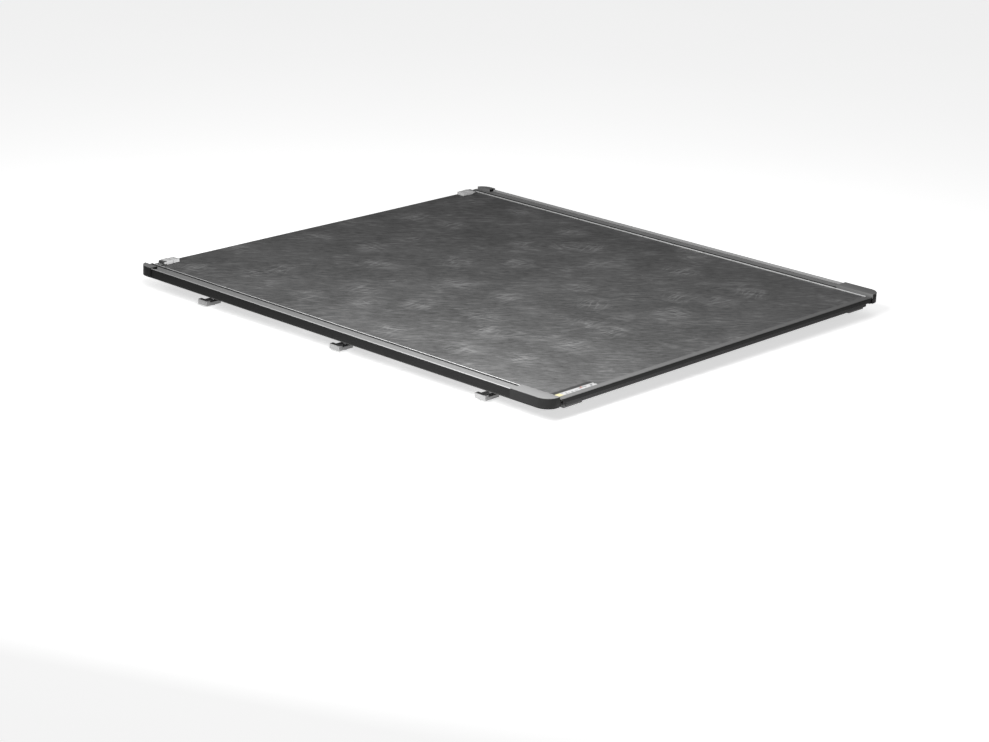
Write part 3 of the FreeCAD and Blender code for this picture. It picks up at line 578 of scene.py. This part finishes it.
def bow_lift(y):
    """1 over a crossbow, the tail bar or the header, and 0 midway between them."""
    spots = [REAR + 35 * MM] + [(low(b).y + high(b).y) / 2 for b in BOWS] + [FRONT - 20 * MM]
    lift = np.zeros_like(y)
    for before, after in zip(spots, spots[1:]):
        inside = (y >= before) & (y <= after)
        share = (y - before) / (after - before)
        lift = np.where(inside, np.abs(np.cos(np.pi * share)) ** 1.5, lift)
    return np.where((y < spots[0]) | (y > spots[-1]), 1.0, lift)


def ripple(x, y):
    """Slow waves that a tensioned sheet keeps."""
    return (0.22 * np.sin(9.1 * x + 3.7 * np.sin(5.3 * y)) * np.sin(7.7 * y + 1.3)
            + 0.12 * np.sin(31.0 * y + 4.0 * np.sin(3.1 * x + 1.0))) * MM


def smooth(t):
    t = np.clip(t, 0, 1)
    return t * t * (3 - 2 * t)


def sheet_top(x, y, side):
    """The sheet's upper face: it sags between its bows, and each grooved hem stands proud."""
    reach = np.abs(x)
    field = FIELD_TOP - SAG * (1 - bow_lift(y)) * smooth((HEM_IN - reach) / 0.25)
    field = field + ripple(x, y) * smooth((HEM_IN - 8 * MM - reach) / (60 * MM))
    hem = HEM_TOP + HEM_RISE
    for inset, depth, half in zip(STITCH_INSETS, GROOVE_DEPTHS, GROOVE_WIDTHS):
        hem = hem - depth * np.exp(-(((reach - HEM_IN - inset) / half) ** 2))
    hem = hem + 0.25 * MM * np.sin(np.pi * np.clip((reach - HEM_IN) / HEM_WIDTH, 0, 1))
    top = field + (hem - field) * smooth((reach - HEM_IN + 3 * MM) / (4.5 * MM))
    edge = np.clip((reach - side + 1.4 * MM) / (1.4 * MM), 0, 1)
    return top - 1.6 * MM * edge ** 2


def sheet_bottom(x, y, side):
    """The knitted face: flat under the hems, and one cloth's thickness below the field."""
    reach = np.abs(x)
    under = sheet_top(x, y, side) - VINYL
    seated = SHEET_BOTTOM + 0.1 * MM
    return np.where(reach > HEM_IN - 3 * MM, seated, np.maximum(under, seated))


def sheet_piece(name, start, end, side):
    """One closed stretch of the sheet: grained top and hems, knitted underside."""
    field, hem, knit, channel = range(4)
    xs = columns(side)
    rows = max(2, int(round((end - start) / GRID)) + 1)
    ys = np.linspace(start, end, rows)
    across, along = np.meshgrid(xs, ys)
    wide = len(xs)
    tops = np.stack([across, along, sheet_top(across, along, side)], -1).reshape(-1, 3)
    lows = np.stack([across, along, sheet_bottom(across, along, side)], -1).reshape(-1, 3)
    points = np.concatenate([tops, lows])
    under = len(tops)
    faces, finish = [], []
    hem_line = HEM_IN - 2.2 * MM
    for row in range(rows - 1):
        for col in range(wide - 1):
            a = row * wide + col
            b, c, d = a + 1, a + wide + 1, a + wide
            middle = abs(xs[col] + xs[col + 1]) / 2
            faces.append((a, b, c, d))
            # Faces over the inner groove take the near-black channel finish: painted shade.
            sunk = CHANNEL[0] < middle - HEM_IN < CHANNEL[1]
            finish.append(channel if sunk else hem if middle > hem_line else field)
            faces.append((under + d, under + c, under + b, under + a))
            finish.append(knit)
        for col in (0, wide - 1):
            a, d = row * wide + col, (row + 1) * wide + col
            wall = (a, d, under + d, under + a) if col == 0 else (d, a, under + a, under + d)
            faces.append(wall)
            finish.append(hem)
    for row in (0, rows - 1):
        for col in range(wide - 1):
            a, b = row * wide + col, row * wide + col + 1
            wall = (b, a, under + a, under + b) if row == 0 else (a, b, under + b, under + a)
            faces.append(wall)
            finish.append(field)
    made = piece_from(name, points, faces, "vinyl", "hem", "knit", "channel")
    made.data.polygons.foreach_set("material_index", finish)
    sheet_uv(made)
    made.data.set_sharp_from_angle(angle=math.radians(50))
    return made


def sheet_uv(made):
    """Lays the flat sheet's own metres on it, so that its pattern runs on across the joins."""
    layer = made.data.uv_layers.new(name="metres")
    places = np.array([v.co[:2] for v in made.data.vertices])
    loops = np.zeros(len(made.data.loops), int)
    made.data.loops.foreach_get("vertex_index", loops)
    layer.data.foreach_set("uv", places[loops].ravel())


def stitch_tree():
    """Geometry nodes that lay one short thread at each step along a line."""
    tree = bpy.data.node_groups.new("stitch_row", "GeometryNodeTree")
    tree.interface.new_socket("Geometry", in_out="INPUT", socket_type="NodeSocketGeometry")
    for key, default in (("Pitch", STITCH_PITCH), ("Thread", THREAD)):
        socket = tree.interface.new_socket(key, in_out="INPUT", socket_type="NodeSocketFloat")
        socket.default_value = default
    tree.interface.new_socket("Geometry", in_out="OUTPUT", socket_type="NodeSocketGeometry")
    n = Nodes(tree)
    given = n.add("NodeGroupInput").outputs
    line = n.add("GeometryNodeMeshToCurve", {"Mesh": given["Geometry"]}).outputs[0]
    spots = n.add("GeometryNodeResampleCurve", {"Curve": line, "Length": given["Pitch"]},
                  mode="LENGTH").outputs[0]
    tangent = n.add("GeometryNodeInputTangent").outputs[0]
    turn = n.add("FunctionNodeAlignRotationToVector", {"Vector": tangent}, axis="Z").outputs[0]
    thread = n.add("GeometryNodeMeshUVSphere", {"Segments": 6, "Rings": 5, "Radius": 1.0}).outputs[0]
    long = n.math("MULTIPLY", given["Pitch"], 0.38)
    size = n.add("ShaderNodeCombineXYZ", {"X": given["Thread"], "Y": given["Thread"],
                                          "Z": long}).outputs[0]
    placed = n.add("GeometryNodeInstanceOnPoints", {
        "Points": spots, "Instance": thread, "Rotation": turn, "Scale": size}).outputs[0]
    real = n.add("GeometryNodeRealizeInstances", {"Geometry": placed}).outputs[0]
    real = n.add("GeometryNodeSetShadeSmooth", {"Geometry": real}).outputs[0]
    done = n.add("GeometryNodeSetMaterial", {"Geometry": real,
                                             "Material": MATERIALS["thread"]}).outputs[0]
    tree.links.new(done, n.add("NodeGroupOutput").inputs[0])
    return tree


def grown(name, points, edges, tree, **inputs):
    """Runs a geometry tree on a wire and keeps the result as a plain mesh."""
    wire = bpy.data.meshes.new(f"{name}_wire")
    wire.from_pydata([tuple(p) for p in points], edges, [])
    made = bpy.data.objects.new(name, wire)
    bpy.context.collection.objects.link(made)
    modifier = made.modifiers.new("grow", "NODES")
    modifier.node_group = tree
    for item in tree.interface.items_tree:
        if item.in_out == "INPUT" and item.name in inputs:
            modifier[item.identifier] = inputs[item.name]
    result = bpy.data.meshes.new_from_object(
        made.evaluated_get(bpy.context.evaluated_depsgraph_get()))
    made.modifiers.clear()
    made.data = result
    return made


STITCHES = stitch_tree()


def stitches(name, start, end, side):
    """Two rows of thread along each hem, sitting in their grooves."""
    points, edges = [], []
    count = max(2, int((end - start) / (10 * MM)))
    for sign in (-1, 1):
        for inset in STITCH_INSETS:
            x = sign * (HEM_IN + inset)
            if abs(x) > side - 2 * MM:
                continue
            first = len(points)
            for step in range(count + 1):
                y = start + (end - start) * step / count
                z = float(sheet_top(np.array(x), np.array(y), side)) + 0.12 * MM
                points.append((x, y, z))
            edges += [(first + i, first + i + 1) for i in range(count)]
    return grown(name, points, edges, STITCHES) if points else None


def welt(name, start, end):
    """The raised rolled edge that runs along the inside of each hem; its pale grey is a painted
    highlight.
    """
    points, faces = [], []
    rows = max(2, int(round((end - start) / GRID)) + 1)
    turns = WELT_SIDES
    x, z = HEM_IN - 0.2 * MM, HEM_TOP + HEM_RISE - 1.2 * MM
    for sign in (-1, 1):
        first = len(points)
        for y in np.linspace(start, end, rows):
            for turn in range(turns):
                angle = 2 * math.pi * turn / turns
                points.append((sign * x + WELT_RADIUS * math.cos(angle), y,
                               z + WELT_RADIUS * math.sin(angle)))
        for row in range(rows - 1):
            for turn in range(turns):
                a, b = first + row * turns + turn, first + row * turns + (turn + 1) % turns
                faces.append((a, b, b + turns, a + turns))
        faces.append(tuple(first + t for t in range(turns)))
        faces.append(tuple(first + (rows - 1) * turns + t for t in range(turns))[::-1])
    made = piece_from(name, points, faces, "welt")
    outwards(made)
    sheet_uv(made)
    return made


def fabric_sheet():
    """The sheet in closed lengths, each from mid-strip to mid-strip so that it spans one hinge. The
    first lies between the rear caps, and the last between the front caps."""
    middles = [(a + b) / 2 for a, b in zip(HINGES, HINGES[1:])]
    starts = [low("cover_strip_01").y, WIDE_FROM] + middles[1:]
    ends = starts[1:] + [WIDE_TO]
    for number, (start, end) in enumerate(zip(starts, ends)):
        side = TAIL_SIDE if number == 0 else HEM_OUT
        cloth = sheet_piece(f"cover_cloth_{number + 1:02d}", start, end, side)
        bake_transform(cloth)
        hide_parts(STRIPS[number])
        trims = [welt(f"hem_welt_{number + 1:02d}", start, end),
                 stitches(f"hem_stitches_{number + 1:02d}", start, end, side)]
        for trim in filter(None, trims):
            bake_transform(trim)
    front = sheet_piece("cover_cloth_front", WIDE_TO, FRONT, FRONT_SIDE)
    stand_for(front, "frame", "vinyl", "front_panel")
    for trim in (welt("hem_welt_front", WIDE_TO, FRONT - 0.5 * MM),
                 stitches("hem_stitches_front", WIDE_TO, FRONT - 3 * MM, FRONT_SIDE)):
        stand_for(trim, "frame", "vinyl")


# ---------- rails, bars and seals ----------

def side_rails():
    """Each rail as one drawn section, with soft edges on its lip. Past the start of the caps'
    rounded corners only its inner part runs on to the rail's end."""
    for side, sign in SIDES.items():
        node = f"{side}_side_rail"
        a, b = low(node), high(node)
        out, ledge = max(abs(a.x), abs(b.x)), min(abs(a.x), abs(b.x))
        inner, lip, web = ledge + LEDGE_REACH, out - LIP_WIDTH, b.z - LIP_HEIGHT
        bend, turn = out - CORNER_RADIUS, REAR + CORNER_RADIUS + END_GAP
        ledge_side = [
            ((inner, web), 1.2), ((inner, LEDGE_TOP), 0.5), ((ledge, LEDGE_TOP), 0.8),
            ((ledge, LEDGE_LOW), 0.8), ((inner, LEDGE_LOW), 0.5)]
        whole = [((inner, 0), 0.6), ((out, 0), 0.8), ((out, b.z), 2.4), ((lip, b.z), 2.0),
                 ((lip, web), 1.0)] + ledge_side
        stub = [((inner, 0), 0.6), ((bend, 0), 0.8), ((bend, web), 0.8)] + ledge_side
        for name, outline, ends in (("section", whole, (turn, -turn)),
                                    ("rear_end", stub, (a.y, turn)),
                                    ("front_end", stub, (-turn, b.y))):
            shape = rounded([p for p, _ in outline], [r * MM for _, r in outline])
            rail = swept(f"{side}_rail_{name}", [(sign * p.x, p.y) for p in shape], ends,
                         "y", "rail")
            stand_for(rail, "frame", "rail_black", node)


def seals():
    """Ribbed strips under the rails, and a bulb on a neck across each end."""
    for side in SIDES:
        node = f"{side}_rail_seal"
        a, b = low(node), high(node)
        mid, half = (a.x + b.x) / 2, (b.x - a.x) / 2
        outline = [(mid - half, 0)]
        for rib in range(SEAL_RIBS):
            x0 = mid - half + 2 * half * rib / SEAL_RIBS
            outline += [(x0 + 0.6 * MM, a.z + 0.9 * MM), (x0 + 1.2 * MM, a.z),
                        (x0 + 2.6 * MM, a.z), (x0 + 3.2 * MM, a.z + 0.9 * MM)]
        outline.append((mid + half, 0))
        strip = swept(f"{side}_ribbed_seal", outline, (a.y, b.y), "y", "rubber")
        stand_for(strip, "frame", "seal_rubber", node)
    for node, body in (("tail_seal", "tail"), ("header_seal", "frame")):
        a, b = low(node), high(node)
        mid, half, top = (a.y + b.y) / 2, (b.y - a.y) / 2, b.z
        turns = [math.pi * t / 14 for t in range(15)]
        bulb = [(mid + half * math.cos(t), a.z + half - half * math.sin(t)) for t in turns]
        outline = [(mid + half, top), (mid + half, top - SEAL_NECK)] + bulb
        outline += [(mid - half, top - SEAL_NECK), (mid - half, top)]
        strip = swept(f"{node}_bulb", outline, (a.x, b.x), "x", "rubber")
        stand_for(strip, body, "seal_rubber", node)


def tail_bar():
    """The tube under the sheet's end and the rounded band that shows behind it."""
    a, b = low("tail_bar"), high("tail_bar")
    band = low("cover_strip_01").y - 0.6 * MM
    shelf = SHEET_BOTTOM - 0.1 * MM
    outline = [((a.y, a.z), 1.5), ((b.y, a.z), 1.5), ((b.y, shelf), 1.0), ((band, shelf), 0.4),
               ((band, b.z), 1.4), ((a.y, b.z), 5.0)]
    shape = rounded([p for p, _ in outline], [r * MM for _, r in outline], 6)
    bar = swept("tail_bar_section", shape, (a.x, b.x), "x", "tail")
    stand_for(bar, "tail", "tail_black", "tail_bar")


def hardware():
    """The moulded, cast and turned pieces, each with its own edge radius."""
    for side in SIDES:
        for end in ("rear", "front"):
            softened(f"{side}_{end}_corner_cap", "cap", "cap_plastic", 1.4 * MM, 3)
        softened(f"{side}_latch_housing", "latch", "latch_plastic", 1.0 * MM)
        softened(f"{side}_release_pull", "latch", "latch_plastic", 1.6 * MM, 3)
        softened(f"{side}_latch_bolt", "zinc", "steel", 0.7 * MM)
        softened(f"{side}_buckle_socket", "buckle", "buckle", 1.1 * MM, 3)
        softened(f"{side}_buckle_tongue", "buckle", "buckle", 0.9 * MM, 3)
        softened(f"{side}_hook_tape", "hooks", "hook_tape", 0.3 * MM)
    for clamp in CLAMPS:
        softened(f"{clamp}_jaw", "cast", "bracket_aluminium", 1.4 * MM, 3)
        softened(f"{clamp}_bolt", "zinc", "steel", 0.6 * MM)
    softened("clamp_brackets", "cast", "bracket_aluminium", 1.2 * MM, 3)
    softened("tail_bar_plugs", "cap", "cap_plastic", 1.0 * MM)
    softened("header_bar", "mill", "bar_aluminium", 0.8 * MM)
    softened("header_screws", "zinc", "steel", 0.5 * MM)
    for bow in BOWS:
        softened(bow, "mill", "bar_aluminium", 1.2 * MM, 3)


def latch_springs():
    """Wire coils in the latch springs' places, each riding with the tail."""
    wire, turns, steps, sides = SPRING_WIRE, SPRING_TURNS, 26, 8
    for side, sign in SIDES.items():
        node = f"{side}_latch_spring"
        a, b = low(node), high(node)
        heart = Vector((0, (a.y + b.y) / 2, (a.z + b.z) / 2))
        radius = (b.z - a.z) / 2 - wire
        length = b.x - a.x - 2 * wire
        points = []
        for step in range(turns * steps + 1):
            angle = 2 * math.pi * step / steps
            out = Vector((0, math.cos(angle), math.sin(angle)))
            along = Vector((length / (turns * 2 * math.pi), -radius * math.sin(angle),
                            radius * math.cos(angle))).normalized()
            across = along.cross(out)
            spot = heart + out * radius
            spot.x = a.x + wire + length * step / (turns * steps)
            for corner in range(sides):
                turn = 2 * math.pi * corner / sides
                points.append(spot + wire * (math.cos(turn) * out + math.sin(turn) * across))
        faces = [tuple(range(sides))[::-1], tuple(range(len(points) - sides, len(points)))]
        for first in range(0, len(points) - sides, sides):
            for corner in range(sides):
                c, d = first + corner, first + (corner + 1) % sides
                faces.append((c, d, d + sides, c + sides))
        coil = piece_from(f"{side}_spring_coil", points, faces, "zinc")
        outwards(coil)
        stand_for(coil, "tail", "steel", node)
        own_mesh(coil)


def storage_straps():
    """A band of webbing through each buckle's eye, sewn down at its outer end."""
    for side, sign in SIDES.items():
        node = f"{side}_storage_strap"
        a, b = low(node), high(node)
        inner, outer = sorted((abs(a.x), abs(b.x)))
        bottom, top = a.z + 0.8 * MM, b.z - 0.8 * MM
        left, right = inner + 0.8 * MM, inner + LOOP_LENGTH + 0.9 * MM
        route = [((right + 1 * MM, bottom + 1.6 * MM), 0), ((right, top), 1.6),
                 ((left, top), 1.6), ((left, bottom), 1.6), ((outer, bottom), 0)]
        loop = rounded([p for p, _ in route], [r * MM for _, r in route], 6)
        path = [Vector((outer, bottom + 1.5 * MM))] + loop
        band(f"{side}_strap_webbing", [Vector((sign * p.x, p.y)) for p in path], (a.y, b.y),
             f"{side}_buckle", node)


def band(name, path, ends, body, node):
    """A flat strap that follows a path in the XZ plane."""
    half = WEBBING / 2
    count = len(path)
    normals = []
    for i in range(count):
        along = (path[min(i + 1, count - 1)] - path[max(i - 1, 0)]).normalized()
        normals.append(Vector((-along.y, along.x)))
    outline = [p + n * half for p, n in zip(path, normals)]
    outline += [p - n * half for p, n in reversed(list(zip(path, normals)))]
    points, faces = [], []
    rows = 7
    size = len(outline)
    lengths = [0.0]
    for one, two in zip(path, path[1:]):
        lengths.append(lengths[-1] + (two - one).length)
    spread = lengths + lengths[::-1]
    for row in range(rows):
        y = ends[0] + (ends[1] - ends[0]) * row / (rows - 1)
        points += [(p.x, y, p.y) for p in outline]
    for row in range(rows - 1):
        for i in range(size):
            j = (i + 1) % size
            faces.append((row * size + i, row * size + j, (row + 1) * size + j,
                          (row + 1) * size + i))
    for row in (0, rows - 1):
        for i in range(count - 1):
            a, b = row * size + i, row * size + i + 1
            c, d = row * size + size - 2 - i, row * size + size - 1 - i
            faces.append((a, b, c, d))
    made = piece_from(name, points, faces, "webbing")
    outwards(made)
    layer = made.data.uv_layers.new(name="metres")
    for loop in made.data.loops:
        at = loop.vertex_index
        layer.data[loop.index].uv = (made.data.vertices[at].co.y, spread[at % size])
    made.data.set_sharp_from_angle(angle=math.radians(40))
    return stand_for(made, body, "webbing", node)


def corner_label():
    """A thin sticker with rounded corners, lying on the cloth."""
    a, b = low("corner_label"), high("corner_label")
    lift = FIELD_TOP + 0.1 * MM
    corners = [(a.x, a.y), (b.x, a.y), (b.x, b.y), (a.x, b.y)]
    outline = rounded(corners, [STICKER_RADIUS] * 4, 5)
    count = len(outline)
    points = [(p.x, p.y, z) for z in (lift, lift + STICKER_THICK) for p in outline]
    faces = [tuple(range(count, 2 * count)), tuple(range(count))[::-1]]
    faces += [(i, (i + 1) % count, count + (i + 1) % count, count + i) for i in range(count)]
    made = piece_from("corner_sticker", points, faces, "label", flat=True)
    layer = made.data.uv_layers.new(name="print")
    for loop in made.data.loops:
        at = made.data.vertices[loop.vertex_index].co
        layer.data[loop.index].uv = ((at.x - a.x) / (b.x - a.x), (at.y - a.y) / (b.y - a.y))
    stand_for(made, "tail", "label", "corner_label")


# ---------- floor, light and camera ----------

def stage():
    """A wide pale floor just under the lowest clamp."""
    floor_z = cad_bounds[0][2] - 1 * MM
    size = 60.0
    points = [(x * size, y * size, floor_z) for x, y in ((-1, -1), (1, -1), (1, 1), (-1, 1))]
    mesh = bpy.data.meshes.new("floor")
    mesh.from_pydata(points, [], [(0, 1, 2, 3)])
    made, n, shader = material("pale_floor")
    shade = n.noise(place_of(n), 0.8, 2.0)
    connect(n, shader, Base_Color=n.mix(shade, grey(0.82), grey(0.86)))
    settings(shader, Roughness=0.9, Specular_IOR_Level=0.1, Emission_Color=grey(1.0),
             Emission_Strength=0.62)
    mesh.materials.append(made)
    floor = bpy.data.objects.new("floor", mesh)
    bpy.context.collection.objects.link(floor)


def soft_light(name, place, aim, size, watts):
    lamp = bpy.data.lights.new(name, "AREA")
    lamp.shape = "DISK"
    lamp.size = size
    lamp.energy = watts
    made = bpy.data.objects.new(name, lamp)
    made.location = place
    made.rotation_euler = (Vector(aim) - Vector(place)).to_track_quat("-Z", "Y").to_euler()
    bpy.context.collection.objects.link(made)


def lights():
    world = bpy.data.worlds.new("studio")
    world.use_nodes = True
    world.node_tree.nodes["Background"].inputs["Color"].default_value = grey(1.0)
    world.node_tree.nodes["Background"].inputs["Strength"].default_value = 0.27
    bpy.context.scene.world = world
    soft_light("key", (-1.6, -0.9, 1.15), (-0.45, -0.4, 0), size=1.3, watts=80)
    soft_light("overhead", (-0.7, -0.9, 3.0), (-0.5, -0.7, 0), size=3.0, watts=16)


def camera():
    """A long lens from behind the left rear corner."""
    azimuth, elevation, roll = (math.radians(d) for d in (-48.3, 18.46, 2.49))
    distance, aim, lens = 7.103, Vector((-0.657, -0.533, 0)), 91.12
    back = Vector((math.sin(azimuth) * math.cos(elevation),
                   -math.cos(azimuth) * math.cos(elevation), math.sin(elevation)))
    data = bpy.data.cameras.new("camera")
    data.lens = lens
    data.sensor_width = 36
    data.clip_end = 200
    made = bpy.data.objects.new("camera", data)
    turn = (-back).to_track_quat("-Z", "Y").to_matrix().to_4x4()
    made.matrix_world = Matrix.Translation(aim + back * distance) @ turn @ Matrix.Rotation(
        roll, 4, "Z")
    bpy.context.collection.objects.link(made)
    bpy.context.scene.camera = made


camera()
lights()
stage()
fabric_sheet()
side_rails()
seals()
tail_bar()
hardware()
latch_springs()
storage_straps()
corner_label()
bpy.context.scene.view_settings.view_transform = "Standard"
